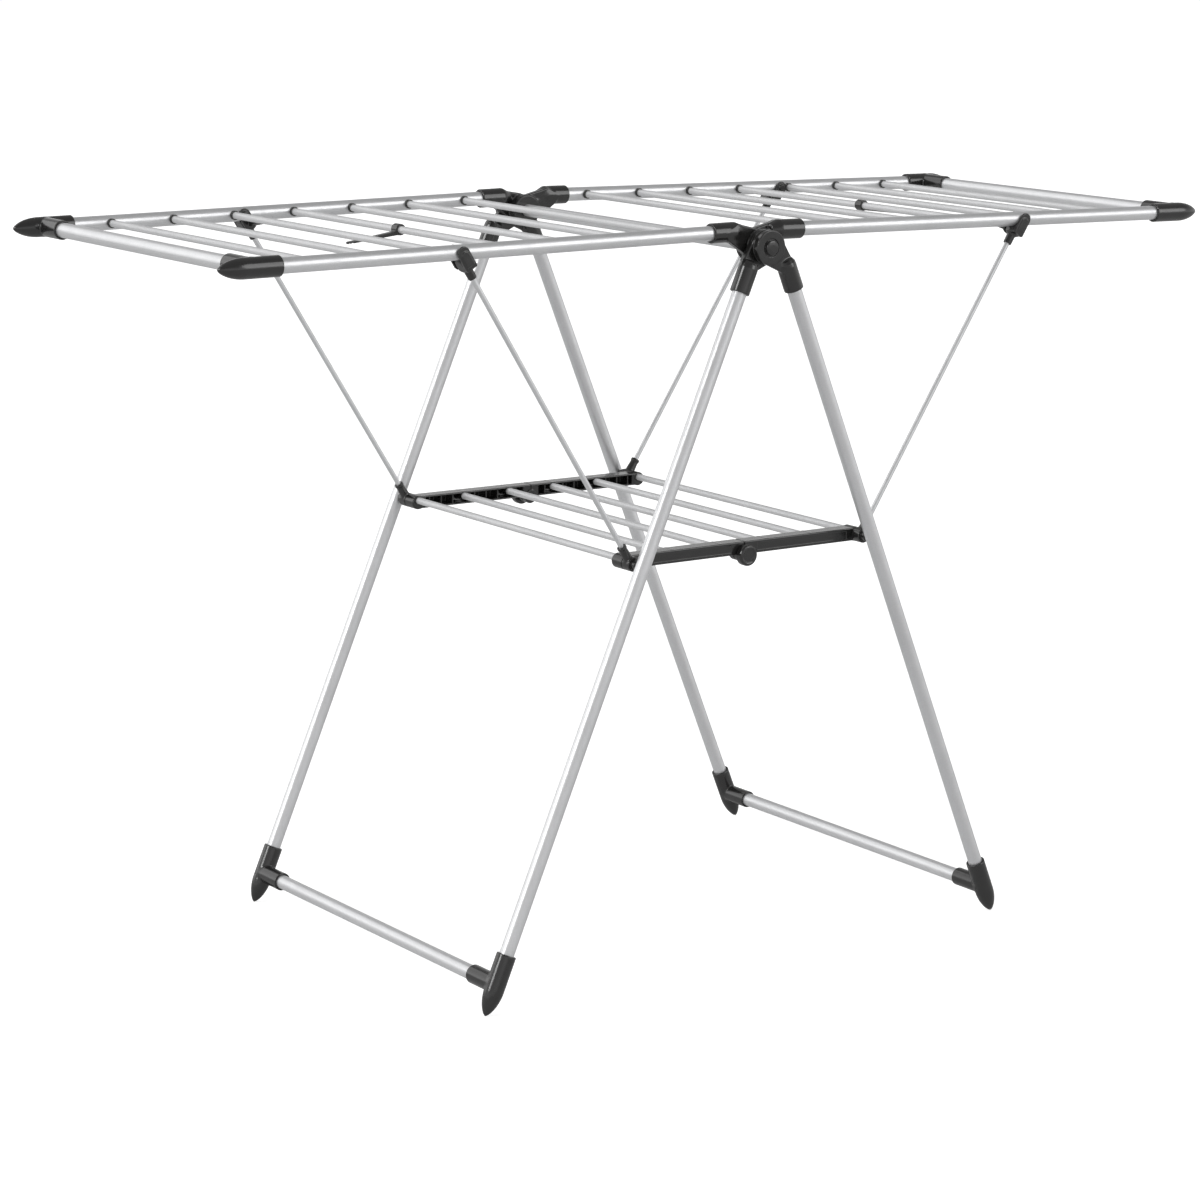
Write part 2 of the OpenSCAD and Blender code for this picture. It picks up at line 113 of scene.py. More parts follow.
def outline(x, y, points):
    """Distance to a closed polygon in a plane."""
    points = np.array(points, float)
    near, sign = np.full(x.shape, np.inf), np.ones(x.shape)
    for i in range(len(points)):
        a, e = points[i], points[i - 1] - points[i]
        wx, wy = x - a[0], y - a[1]
        t = np.clip((wx * e[0] + wy * e[1]) / (e @ e), 0, 1)
        near = np.minimum(near, (wx - e[0] * t) ** 2 + (wy - e[1] * t) ** 2)
        over, under, left = y >= a[1], y < points[i - 1][1], e[0] * wy > e[1] * wx
        sign = np.where((over & under & left) | (~over & ~under & ~left), -sign, sign)
    return sign * np.sqrt(near)


def plate(p, points, y0, y1, edge=0.0):
    """An outline in X and Z, between two depths."""
    return rounded(outline(p[:, 0], p[:, 2], points), np.abs(p[:, 1] - (y0 + y1) / 2) - (y1 - y0) / 2, edge)


def turned(p, profile, axis=2, at=(0, 0, 0)):
    """A solid of revolution about an axis: the profile is (radius, distance along)."""
    q = p - np.array(at, float)
    others = [i for i in range(3) if i != axis]
    mirrored = list(profile) + [(-r, t) for r, t in reversed(profile) if r > 0]
    return outline(np.hypot(q[:, others[0]], q[:, others[1]]), q[:, axis], mirrored)


def fuse(k, *fields):
    """Union with fillets of about k."""
    total = fields[0]
    for f in fields[1:]:
        h = np.maximum(k - np.abs(total - f), 0) / k
        total = np.minimum(total, f) - h * h * k / 4
    return total


def cut(k, field, *tools):
    """Takes the tools out of the field, with edges eased by about k."""
    return -fuse(k, -field, *tools)


def touch(point, r, side):
    """Where a line from a point touches a circle about the origin."""
    a = math.atan2(point[1], point[0]) + side * math.acos(r / math.hypot(*point))
    return (r * math.cos(a), r * math.sin(a))


# ---- Skinning a distance field with quads ----

def slope(field, p, h=0.05):
    """Gradient of a field at points."""
    steps = np.eye(3) * h
    return np.stack([(field(p + s) - field(p - s)) / (2 * h) for s in steps], 1)


def skin(field, low, high, step):
    """Vertices, quads and normals of a field's surface inside a box (surface nets)."""
    axes = [np.arange(a - step, b + 2 * step, step) for a, b in zip(low, high)]
    shape = [len(a) for a in axes]
    grid = np.stack(np.meshgrid(*axes, indexing="ij"), -1)
    d = field(grid.reshape(-1, 3)).reshape(shape)
    assert min(np.take(d, [0, -1], axis).min() for axis in range(3)) > 0, "shape runs out of its box"
    total, count = np.zeros([n - 1 for n in shape] + [3]), np.zeros([n - 1 for n in shape])
    edges = []
    for axis in range(3):
        a = [slice(None)] * 3
        b = [slice(None)] * 3
        a[axis], b[axis] = slice(0, -1), slice(1, None)
        d0, d1 = d[tuple(a)], d[tuple(b)]
        cross = np.argwhere((d0 < 0) != (d1 < 0))
        u, v = [i for i in range(3) if i != axis]
        inner = np.all((cross[:, [u, v]] > 0) & (cross[:, [u, v]] < np.array(shape)[[u, v]] - 1), axis=1)
        cross = cross[inner]
        c0, c1 = d0[tuple(cross.T)], d1[tuple(cross.T)]
        point = grid[tuple(cross.T)].copy()
        point[:, axis] += step * c0 / (c0 - c1)
        ring = []
        for du, dv in ((1, 1), (0, 1), (0, 0), (1, 0)):
            cell = cross.copy()
            cell[:, u] -= du
            cell[:, v] -= dv
            np.add.at(total, tuple(cell.T), point)
            np.add.at(count, tuple(cell.T), 1)
            ring.append(cell)
        edges.append((axis, ring, c0 < 0))
    used = count > 0
    number = np.full(used.shape, -1)
    number[used] = np.arange(used.sum())
    verts = total[used] / count[used][:, None]
    quads = []
    for axis, ring, outward in edges:
        ids = np.stack([number[tuple(c.T)] for c in ring], 1)
        flip = outward if axis == 1 else ~outward
        quads.append(np.where(flip[:, None], ids[:, ::-1], ids))
    for _ in range(3):
        g = slope(field, verts)
        size = np.maximum((g * g).sum(1), 0.25)
        move = np.clip(field(verts) / size, -step / 2, step / 2)
        verts = verts - g * move[:, None]
    normals = slope(field, verts, 0.12)
    normals /= np.maximum(np.linalg.norm(normals, axis=1), 1e-9)[:, None]
    return verts, np.concatenate(quads), normals


# ---- Placing shapes in the frame ----

def tilted(angle, x=0.0, z=0.0):
    """A frame turned about Y at a place in the X and Z plane of the right-hand side."""
    return Matrix.Translation((x, 0, z)) @ Matrix.Rotation(angle, 4, "Y")


LEG_FRAME = tilted(-LEG_ANGLE, 0, PIVOT_Z)
WING_FRAME = tilted(WING_DROOP, 0, PIVOT_Z)
STRUT_FRAME = tilted(STRUT_TILT, SHELF_X, SHELF_Z)
SHELF_FRAME = Matrix.Identity(4)


def placed(shape, place, side, end, local=Matrix.Identity(4)):
    """A copy of a shape in the row frame, mirrored to a side and an end."""
    verts, quads, normals = shape
    m = np.array(place @ local)
    flip = np.array([side, end, 1.0])
    turn = np.sign(np.linalg.det(m[:3, :3]))
    spots = (verts @ m[:3, :3].T + m[:3, 3]) * flip * MM
    faces = quads if side * end * turn > 0 else quads[:, ::-1]
    return spots, faces, (normals @ m[:3, :3].T) * flip


def merged(parts):
    """Several placed shapes as one."""
    start, quads = 0, []
    for verts, faces, _ in parts:
        quads.append(faces + start)
        start += len(verts)
    return (np.concatenate([v for v, _, _ in parts]), np.concatenate(quads),
            np.concatenate([n for _, _, n in parts]))


def piece(name, shape, material, body, slot, *nodes):
    """Makes a mesh piece that rides on a body and stands for CAD nodes."""
    verts, quads, normals = shape
    mesh = bpy.data.meshes.new(name)
    mesh.from_pydata(verts.tolist(), [], quads.tolist())
    mesh.update()
    mesh.polygons.foreach_set("use_smooth", [True] * len(mesh.polygons))
    mesh.normals_split_custom_set_from_vertices(normals.tolist())
    mesh.materials.append(material)
    obj = bpy.data.objects.new(name, mesh)
    bpy.context.scene.collection.objects.link(obj)
    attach(obj, body)
    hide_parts(*nodes)


# ---- Shapes of the moulded parts, in millimetres ----

# Rounded lip at the mouth of a sleeve: (radius, distance from the mouth)
LIP = [(SLEEVE_R - 0.8, 0.0), (SLEEVE_R - 0.2, 0.4), (SLEEVE_R, 1.0)]

# Grid steps for skinning
CAP_STEP, COLLAR_STEP, FITTING_STEP = 0.4, 0.5, 0.6
HINGE_STEP, CONNECTOR_STEP, SHELF_STEP = 0.65, 0.8, 0.85


def bore(p, at, way):
    """The shallow recess at the mouth of a sleeve, round the tube that enters it."""
    r, depth, past = TUBE_R + 0.5, 2.0, 4.0
    at, way = np.array(at, float), np.array(way, float)
    return rod(p, at - way * depth, at + way * past, r)


def connector(p, tip, top):
    """Foot or wing corner: pointed nose, sleeve up Z, side stub towards -Y."""
    nose, stub_z, stub_y, seam_z = 33.0, 40.0, -48.0, 30.0
    curve = [(SLEEVE_R * (1 - (1 - s) ** 2) ** 0.72, tip + nose * s) for s in np.linspace(0, 1, 13)]
    mouth = [(SLEEVE_R, top - 0.9), (SLEEVE_R - 0.3, top - 0.25), (SLEEVE_R - 0.9, top), (0, top)]
    stub = rod(p, (0, 0, stub_z), (0, stub_y, stub_z), SLEEVE_R - 0.4, 0.7)
    solid = fuse(1.8, turned(p, curve + mouth), stub)
    solid = cut(0.4, solid, bore(p, (0, 0, top), (0, 0, 1)), bore(p, (0, stub_y, stub_z), (0, -1, 0)))
    seam = np.hypot(np.abs(p[:, 0]) - SLEEVE_R - 0.15, p[:, 1]) - 0.35
    return cut(0.2, solid, np.maximum(seam, seam_z - p[:, 2]))


def ridged(p, hub, y0, r):
    """Cuts shallow grooves round the rim of a hinge disc."""
    pitch, half_width, depth = 3.9, 0.8, 1.1
    wave = np.abs(np.mod(p[:, 1] - y0, pitch) - pitch / 2) - half_width
    return cut(0.25, hub, np.maximum(wave, r - depth - np.hypot(p[:, 0], p[:, 2])))


def leg_socket(side):
    """Disc round the hinge pin and sleeve over the top of a leg, in the leg's frame."""
    within = side == LEFT
    y0, y1 = (LEG_Y - SLEEVE_R, LEG_Y - GAP) if within else (LEG_Y + GAP, LEG_Y + HUB_OUT)
    face = y0 if within else y1
    low, top, disc_r, groove_r = -64.0, -24.0, 21.0, 10.1
    inner, outer = (LEG_OFF - 11, -37), (LEG_OFF + 7.5, -25)
    inner_touch, outer_touch = touch(inner, disc_r - 0.5, -1), touch(outer, disc_r - 0.5, 1)
    neck = [(0, 0), inner_touch, inner, (LEG_OFF, -40), outer, outer_touch]
    shoulder = [(SLEEVE_R, top - 9), (11.5, top - 5), (9.5, top - 1.5), (6, top), (0, top)]
    barrel = [(0, low)] + [(r, low + t) for r, t in LIP] + shoulder

    def field(p):
        hub = rod(p, (0, y0, 0), (0, y1, 0), disc_r, 1.3)
        if within:
            hub = ridged(p, hub, y0, disc_r)
        web = plate(p, neck, y0 + 0.6, y1 - 2.4, 1.6)
        sleeve = turned(p, barrel, 2, (LEG_OFF, LEG_Y, 0))
        solid = fuse(0.9, hub, fuse(2.2, web, sleeve))
        ring = np.abs(np.hypot(p[:, 0], p[:, 2]) - groove_r) - 0.9
        groove = np.maximum(ring, np.abs(p[:, 1] - face) - 1.1)
        return cut(0.3, solid, bore(p, (LEG_OFF, LEG_Y, low), (0, 0, -1)), groove)
    return skin(field, (-22, LEG_Y - 13, low - 3), (31, LEG_Y + 13, disc_r + 1), HINGE_STEP)


def knuckle(side):
    """Disc round the hinge pin and sleeve over the root of a wing rail, in the wing's frame."""
    y0, y1 = (RAIL_Y + GAP, RAIL_Y + SLEEVE_R) if side == LEFT else (RAIL_Y - SLEEVE_R, RAIL_Y - GAP)
    root, rim, disc_r = 21.0, 67.0, 20.0
    top, low = (26, RAIL_UP + 8.5), (46, RAIL_UP - 10)
    low_touch, top_touch = touch(low, disc_r - 0.5, -1), touch(top, disc_r - 0.5, 1)
    neck = [(0, 0), low_touch, low, (50, RAIL_UP), (33, RAIL_UP + 11), top, top_touch]
    cone = [(0, root), (4.5, root), (6.5, root + 0.8), (11.4, root + 10.5), (SLEEVE_R, root + 13)]
    barrel = cone + [(r, rim - t) for r, t in reversed(LIP)] + [(0, rim)]

    def field(p):
        hub = ridged(p, rod(p, (0, y0, 0), (0, y1, 0), disc_r, 1.5), y0, disc_r)
        web = plate(p, neck, y0 + 1.2, y1 - 1.2, 1.6)
        sleeve = turned(p, barrel, 0, (0, RAIL_Y, RAIL_UP))
        rib = rod(p, (14, (y0 + y1) / 2, 10), (34, RAIL_Y, RAIL_UP), 5)
        solid = fuse(0.9, hub, fuse(2.4, web, sleeve, rib))
        return cut(0.3, solid, bore(p, (rim, RAIL_Y, RAIL_UP), (1, 0, 0)))
    return skin(field, (-21, RAIL_Y - 13, -21), (rim + 1, RAIL_Y + 13, 31), HINGE_STEP)


def cap(p):
    """Domed cap over the end of the hinge pin."""
    foot, head, r = LEG_Y + HUB_OUT + 0.4, LEG_Y + HUB_OUT + 3.2, 8.9
    crown = [(r, head - 1.5), (8.4, head - 0.7), (7.2, head - 0.25), (4, head), (0, head)]
    dome = [(0, foot), (r, foot)] + crown
    return turned(p, dome, 1)


def collar(p):
    """Ring where a hanging rod meets the rail; the rail runs along X."""
    ring_r = 5.8
    ring = rod(p, (0, RAIL_Y - 12.4, 0), (0, RAIL_Y - 4, 0), ring_r, 0.7)
    hole = rod(p, (0, RAIL_Y - 20, 0), (0, RAIL_Y, 0), ROD_R + 0.15)
    rail = rod(p, (-20, RAIL_Y, 0), (20, RAIL_Y, 0), TUBE_R + 0.05)
    return cut(0.5, ring, hole, rail)


def keeper(p):
    """Inner half of a strut clip: plate against the rail, and a tapering finger tab."""
    face = RAIL_Y - TUBE_R - 0.2
    half, tab_x = 8.0, -10.0
    arch = [(half * math.cos(a), half * math.sin(a)) for a in np.linspace(0, math.pi, 13)]
    sole = [(-half, -17), (-6.6, -20.5), (-3, -22), (3, -22), (6.6, -20.5), (half, -17)]
    lean = STRUT_TILT - WING_DROOP
    q = p.copy()
    q[:, 0] = p[:, 0] * math.cos(lean) - p[:, 2] * math.sin(lean)
    q[:, 2] = p[:, 0] * math.sin(lean) + p[:, 2] * math.cos(lean)
    pad = plate(q, arch + sole, face - 3, face, 0.7)
    wedge = [(face - 1, -7), (face - 1, -14.5), (face - 24, -10.5), (face - 25, -9.6), (face - 24, -9)]
    tab = rounded(outline(p[:, 1], p[:, 2], wedge), np.abs(p[:, 0] - tab_x) - 5, 0.8)
    boss = rod(p, (0, face - 5, 0), (0, face - 1, 0), 4.2, 0.8)
    return fuse(1.5, pad, tab, boss)


def strut_clip(p):
    """Clip that grips the rail from outside and below, on top of a strut."""
    y0, inner = RAIL_Y + TUBE_R + 0.6, RAIL_Y - TUBE_R + 2.4
    q = p - np.array([0, 0, STRUT_LEN])
    half, bead_half, sole = 7.8, 5.0, -22.0
    arch = [(half * math.cos(a), half * math.sin(a)) for a in np.linspace(0, math.pi, 15)]
    foot = [(-half, sole + 1.5), (1 - half, sole), (half - 1, sole), (half, sole + 1.5)]
    face = plate(q, arch + foot, y0, y0 + 3, 0.8)
    small_arch = [(bead_half * x / half, bead_half * z / half - 4) for x, z in arch]
    bead = plate(q, small_arch + [(-bead_half, -17), (bead_half, -17)], y0 + 2, y0 + 3.7, 0.6)
    under = block(q, (0.5 - half, inner, sole), (half - 0.5, y0 + 1, -8), 1.6)
    cheek = rod(q, (-7, RAIL_Y + 1, -15), (7, RAIL_Y + 1, -15), 8.4, 2.0)
    socket = [(0, -36), (4.7, -36), (5.2, -35.4), (5.5, -24), (7, -21), (0, -18)]
    neck = turned(q, socket, 2, (0, RAIL_Y, 0))
    solid = fuse(1.6, face, fuse(2.0, under, cheek, neck), bead)
    lean = math.pi / 2 - STRUT_TILT + WING_DROOP
    run = np.array([math.sin(lean), 0, math.cos(lean)]) * 40
    centre = np.array([0, RAIL_Y, 0])
    saddle = rod(q, centre - run, centre + run, TUBE_R + 0.55)
    return cut(0.4, solid, saddle, q[:, 1] - inner, rod(q, (0, RAIL_Y, -40), (0, RAIL_Y, -34.5), 3.7))


def strut_eye(p):
    """Ring round the shelf stud and socket under the strut rod."""
    y0, y1 = RAIL_Y - 6.2, RAIL_Y + 8
    ring = rod(p, (0, y0, 0), (0, y1, 0), 9, 1.2)
    boss = rod(p, (0, y0, 0), (0, LEG_Y - TUBE_R - 0.6, 0), 6.2, 0.6)
    stem = [(0, 0), (6, 0), (5.8, 12), (5.2, 20), (5.2, 22)]
    collar_end = [(5.8, 22.6), (5.8, 25.4), (5.4, 26), (0, 26)]
    neck = turned(p, stem + collar_end, 2, (0, RAIL_Y, 0))
    solid = fuse(1.6, ring, neck)
    solid = np.minimum(solid, boss)
    recess = rod(p, (0, y0 - 3, 0), (0, y0 + 0.8, 0), 5.2)
    return cut(0.4, solid, recess, rod(p, (0, RAIL_Y, 24.6), (0, RAIL_Y, 30), 3.75))


def stow_hook(p):
    """Collar on a rod with a tapering arm that points out along the wing."""
    hub = rod(p, (0, -6.2, 0), (0, 6.2, 0), 6.9, 1.0)
    reach, tooth = 72, 2
    teeth = [(reach - tooth * i, -4.4 if i % 2 else -5.6) for i in range(5)]
    arm = outline(p[:, 0], p[:, 2], [(0, -1), (reach, -2.6), *teeth, (0, -6.2)])
    width = 4.2 - 0.018 * np.clip(p[:, 0], 0, reach)
    blade = rounded(arm, np.abs(p[:, 1]) - width, 0.7)
    solid = fuse(1.6, hub, blade)
    return cut(0.4, solid, rod(p, (0, -9, 0), (0, 9, 0), ROD_R + 0.15))


def shelf_rail(side):
    """Half of a moulded shelf rail: channel open inwards, with ribs, bosses and two lobes."""
    low, high, mid = SHELF_Z - 8, SHELF_Z + 8, (SHELF_IN + SHELF_OUT) / 2
    far, lobe_r = SHELF_X, 9.0
    y0, y1 = (mid + GAP, SHELF_OUT) if side == LEFT else (SHELF_IN, mid - GAP)
    other = (SHELF_IN - 4, mid + GAP) if side == LEFT else (mid - GAP, SHELF_OUT + 4)
    bosses = [(x, SHELF_Z + SHELF_ROD_UP) for x in SHELF_ROD_X]
    ribs = [11.5, 23, 52, 70, 88, 122, 140, 158]

    def field(p):
        bar = block(p, (GAP, SHELF_IN, low), (far, SHELF_OUT, high), 1.0)
        hollow = block(p, (12, SHELF_IN - 4, low + 2.2), (far - 11, SHELF_OUT - 3, high - 2.2), 0.8)
        body = cut(0.8, bar, hollow)
        for x in ribs:
            rib = block(p, (x - 1, SHELF_IN + 1.2, low + 1), (x + 1, SHELF_OUT - 1, high - 1))
            body = fuse(0.8, body, rib)
        for x, z in bosses:
            body = fuse(1.0, body, rod(p, (x, SHELF_IN, z), (x, SHELF_OUT - 1, z), 5.4, 0.6))
        end = rod(p, (far, SHELF_IN, SHELF_Z), (far, SHELF_OUT, SHELF_Z), lobe_r, 1.2)
        ear = rod(p, (0, y0, MID_Z), (0, y1, MID_Z), lobe_r, 1.0)
        body = fuse(1.5, body, end, ear)
        gap = rod(p, (0, other[0], MID_Z), (0, other[1], MID_Z), lobe_r + 0.6)
        panel = block(p, (20, SHELF_OUT - 0.3, low + 3.2), (far - 16, SHELF_OUT + 2, high - 3.2), 0.4)
        body = cut(0.5, body, gap, panel)
        for x, z in bosses:
            body = cut(0.3, body, rod(p, (x, SHELF_IN - 4, z), (x, SHELF_IN + 3, z), ROD_R + 0.2))
        return body
    return skin(field, (-12, SHELF_IN - 2, MID_Z - 12), (far + 12, SHELF_OUT + 2, high + 4), SHELF_STEP)


def knob(p):
    """Round knob outside the middle joint of the shelf."""
    foot, head, r, pin_r = SHELF_OUT + GAP, SHELF_OUT + 10, 13, 3.9
    side = [(0, foot), (12.4, foot), (r, foot + 0.6), (r, head - 2.2), (12.5, head - 0.9)]
    face = [(11.4, head - 0.2), (10, head), (8.6, head - 0.5), (8, head - 1), (0, head - 1)]
    pin = rod(p, (0, SHELF_IN + 1, MID_Z), (0, foot + 2, MID_Z), pin_r)
    return np.minimum(turned(p, side + face, 1, (0, 0, MID_Z)), pin)


# ---- Materials ----

def graph(material):
    """The node tree of a new material and its surface shader."""
    material.use_nodes = True
    tree = material.node_tree
    return tree, tree.nodes["Principled BSDF"]


def link(tree, source, target):
    """Joins an output socket to an input socket."""
    tree.links.new(source, target)


def noise(tree, scale, detail=4.0, rough=0.55, kind="ShaderNodeTexNoise"):
    """A noise texture in object space, scale per metre."""
    place = tree.nodes.new("ShaderNodeTexCoord")
    node = tree.nodes.new(kind)
    node.inputs["Scale"].default_value = scale
    if kind == "ShaderNodeTexNoise":
        node.inputs["Detail"].default_value = detail
        node.inputs["Roughness"].default_value = rough
    link(tree, place.outputs["Object"], node.inputs["Vector"])
    return node


def spread(tree, source, low, high, start=0.3, stop=0.7):
    """Maps a source from start..stop to low..high."""
    node = tree.nodes.new("ShaderNodeMapRange")
    for name, value in (("From Min", start), ("From Max", stop), ("To Min", low), ("To Max", high)):
        node.inputs[name].default_value = value
    link(tree, source, node.inputs["Value"])
    return node.outputs["Result"]


def mixed(tree, fac, a, b):
    """A colour between two, by a factor."""
    node = tree.nodes.new("ShaderNodeMix")
    node.data_type = "RGBA"
    link(tree, fac, node.inputs["Factor"])
    for socket, value in ((node.inputs[6], a), (node.inputs[7], b)):
        if isinstance(value, tuple):
            socket.default_value = (*value, 1)
        else:
            link(tree, value, socket)
    return node.outputs[2]


def bump(tree, shader, *layers):
    """Stacks bump layers: (height, distance in metres, strength)."""
    last = None
    for height, distance, strength in layers:
        node = tree.nodes.new("ShaderNodeBump")
        node.inputs["Distance"].default_value = distance
        node.inputs["Strength"].default_value = strength
        link(tree, height, node.inputs["Height"])
        if last:
            link(tree, last.outputs["Normal"], node.inputs["Normal"])
        last = node
    link(tree, last.outputs["Normal"], shader.inputs["Normal"])


def silver(name, light, dark, rough, metal):
    """Silver lacquer on steel: fine metal flake, slight unevenness, a few dull patches."""
    material = bpy.data.materials.new(name)
    tree, shader = graph(material)
    shader.inputs["Metallic"].default_value = metal
    flake = noise(tree, 950, kind="ShaderNodeTexVoronoi")
    cloud = noise(tree, 14, 5)
    wear = noise(tree, 60, 8, 0.7)
    base = mixed(tree, spread(tree, cloud.outputs["Fac"], 0, 1), dark, light)
    glint = spread(tree, flake.outputs["Distance"], 0.0, 0.4, 0.1, 0.8)
    sparkle = mixed(tree, glint, base, (0.85, 0.85, 0.86))
    link(tree, sparkle, shader.inputs["Base Color"])
    link(tree, spread(tree, wear.outputs["Fac"], rough - 0.06, rough + 0.1), shader.inputs["Roughness"])
    grain = noise(tree, 900, 3)
    bump(tree, shader, (cloud.outputs["Fac"], 0.002, 0.08), (flake.outputs["Distance"], 0.0002, 0.18),
         (grain.outputs["Fac"], 0.0002, 0.16))
    return material


def moulded():
    """Black moulded plastic: fine spark-eroded grain, worn and slightly greyer at its edges."""
    material = bpy.data.materials.new("black_plastic")
    tree, shader = graph(material)
    cloud = noise(tree, 40, 6, 0.6)
    patches = spread(tree, cloud.outputs["Fac"], 0, 1)
    base = mixed(tree, patches, (0.013, 0.0127, 0.0125), (0.019, 0.0186, 0.0182))
    shape = tree.nodes.new("ShaderNodeNewGeometry")
    edge = spread(tree, shape.outputs["Pointiness"], 0.0, 0.55, 0.52, 0.62)
    link(tree, mixed(tree, edge, base, (0.036, 0.035, 0.034)), shader.inputs["Base Color"])
    smear = noise(tree, 110, 7, 0.65)
    link(tree, spread(tree, smear.outputs["Fac"], 0.13, 0.22), shader.inputs["Roughness"])
    shader.inputs["Specular IOR Level"].default_value = 0.75
    grain = noise(tree, 2600, 2)
    pits = noise(tree, 1300, kind="ShaderNodeTexVoronoi")
    bump(tree, shader, (smear.outputs["Fac"], 0.0003, 0.03), (pits.outputs["Distance"], 0.00015, 0.1),
         (grain.outputs["Fac"], 0.0001, 0.16))
    return material


def zinc():
    """Zinc-plated steel of the pins and studs."""
    material = bpy.data.materials.new("pin_steel")
    tree, shader = graph(material)
    shader.inputs["Metallic"].default_value = 1.0
    cloud = noise(tree, 300, 6, 0.65)
    link(tree, mixed(tree, spread(tree, cloud.outputs["Fac"], 0, 1), (0.42, 0.42, 0.4), (0.6, 0.6, 0.6)),
         shader.inputs["Base Color"])
    link(tree, spread(tree, cloud.outputs["Fac"], 0.24, 0.42), shader.inputs["Roughness"])
    lines = noise(tree, 1400, 3)
    bump(tree, shader, (lines.outputs["Fac"], 0.0002, 0.15))
    return material


def white_floor():
    """Plain pale studio floor, brighter to the camera than to other rays."""
    material = bpy.data.materials.new("studio_floor")
    tree, shader = graph(material)
    cloud = noise(tree, 1.5, 3)
    seen = mixed(tree, spread(tree, cloud.outputs["Fac"], 0, 1), (0.9, 0.9, 0.9), (0.92, 0.92, 0.92))
    path = tree.nodes.new("ShaderNodeLightPath")
    colour = mixed(tree, path.outputs["Is Camera Ray"], (0.74, 0.74, 0.74), seen)
    link(tree, colour, shader.inputs["Base Color"])
    glow = tree.nodes.new("ShaderNodeMath")
    glow.operation = "MULTIPLY"
    link(tree, path.outputs["Is Camera Ray"], glow.inputs[0])
    glow.inputs[1].default_value = 0.62
    link(tree, glow.outputs[0], shader.inputs["Emission Strength"])
    shader.inputs["Emission Color"].default_value = (1, 1, 1, 1)
    shader.inputs["Roughness"].default_value = 0.9
    shader.inputs["Specular IOR Level"].default_value = 0.1
    return material


FINISH = {
    "tube_metal": silver("tube_metal", (0.7, 0.705, 0.715), (0.64, 0.645, 0.655), 0.36, 0.65),
    "rod_metal": silver("rod_metal", (0.64, 0.643, 0.65), (0.59, 0.593, 0.6), 0.5, 0.35),
    "black_plastic": moulded(),
    "pin_steel": zinc(),
}


# ---- The pieces ----

def dress_frame():
    """Gives every CAD node the material of its slot."""
    slots = {s["node"]: s["material_slot"] for s in frame["record"]["subparts"]}
    for name, node in frame["nodes"].items():
        node.data.materials.clear()
        node.data.materials.append(FINISH[slots[name]])


def plastic(name, shape, body, *nodes):
    """Makes a piece of black moulded plastic."""
    piece(name, shape, FINISH["black_plastic"], body, "black_plastic", *nodes)


def make_connectors():
    """The four feet on the legs and the four pointed corners of the wings."""
    foot = skin(lambda p: connector(p, 0.3, 77.0), (-13, -49, -1), (13, 13, 78), CONNECTOR_STEP)
    corner = skin(lambda p: connector(p, -2.0, 75.0), (-13, -49, -3), (13, 13, 76), CONNECTOR_STEP)
    inset = 2.25
    outwards = Matrix.Rotation(-math.pi / 2, 4, "Y")
    corner_place = Matrix.Translation((WING_LEN - inset, RAIL_Y, RAIL_UP)) @ outwards
    foot_place = Matrix.Translation((LEG_OFF, LEG_Y, -LEG_LEN))
    for side, s in SIDES.items():
        for end, e in ENDS.items():
            plastic(f"{s}_foot_{e}_moulding", placed(foot, LEG_FRAME, side, end, foot_place),
                    f"{s}_leg", f"{s}_foot_{e}")
            plastic(f"{s}_corner_{e}_moulding", placed(corner, WING_FRAME, side, end, corner_place),
                    f"{s}_wing", f"{s}_corner_{e}")


def make_hinges():
    """The leg sockets, the wing knuckles and the caps of the hinge pins."""
    for side, s in SIDES.items():
        socket, joint = leg_socket(side), knuckle(side)
        for end, e in ENDS.items():
            plastic(f"{s}_leg_socket_{e}_moulding", placed(socket, LEG_FRAME, side, end),
                    f"{s}_leg", f"{s}_leg_socket_{e}")
            plastic(f"{s}_knuckle_{e}_moulding", placed(joint, WING_FRAME, side, end),
                    f"{s}_wing", f"{s}_knuckle_{e}")
    dome = skin(cap, (-10, LEG_Y + HUB_OUT - 1, -10), (10, LEG_Y + HUB_OUT + 4, 10), CAP_STEP)
    axle_place = Matrix.Translation((0, 0, PIVOT_Z))
    plastic("hinge_caps_domed", merged([placed(dome, axle_place, RIGHT, end) for end in ENDS]),
            "axle", "hinge_caps")


def make_rail_fittings():
    """The rod collars and the inner halves of the strut clips, on the side rails."""
    ring = skin(collar, (-8, RAIL_Y - 14, -8), (8, RAIL_Y - 3, 8), COLLAR_STEP)
    grip = skin(keeper, (-18, RAIL_Y - 38, -24), (18, RAIL_Y - 8, 12), FITTING_STEP)
    for side, s in SIDES.items():
        spots = [Matrix.Translation((ROD_FIRST + i * ROD_PITCH, 0, RAIL_UP)) for i in range(ROD_COUNT)]
        plastic(f"{s}_rod_collars_ringed",
                merged([placed(ring, WING_FRAME, side, end, at) for at in spots for end in ENDS]),
                f"{s}_wing", f"{s}_rod_collars")
        at = Matrix.Translation((CLIP_X, 0, RAIL_UP))
        plastic(f"{s}_clip_keepers_moulded",
                merged([placed(grip, WING_FRAME, side, end, at) for end in ENDS]),
                f"{s}_wing", f"{s}_clip_keepers")


def make_hooks():
    """One stow hook on the middle rod of each wing."""
    shape = skin(stow_hook, (-8, -8, -8), (74, 8, 8), FITTING_STEP)
    arm_droop = math.radians(6.5)
    for side, s in SIDES.items():
        at = Matrix.Translation((ROD_FIRST + 3 * ROD_PITCH, JOINT[f"{s}_hook_turn"].y, RAIL_UP))
        at = at @ Matrix.Rotation(arm_droop, 4, "Y")
        plastic(f"{s}_stow_hook_moulded", placed(shape, WING_FRAME, side, BACK, at),
                f"{s}_hook", f"{s}_stow_hook")


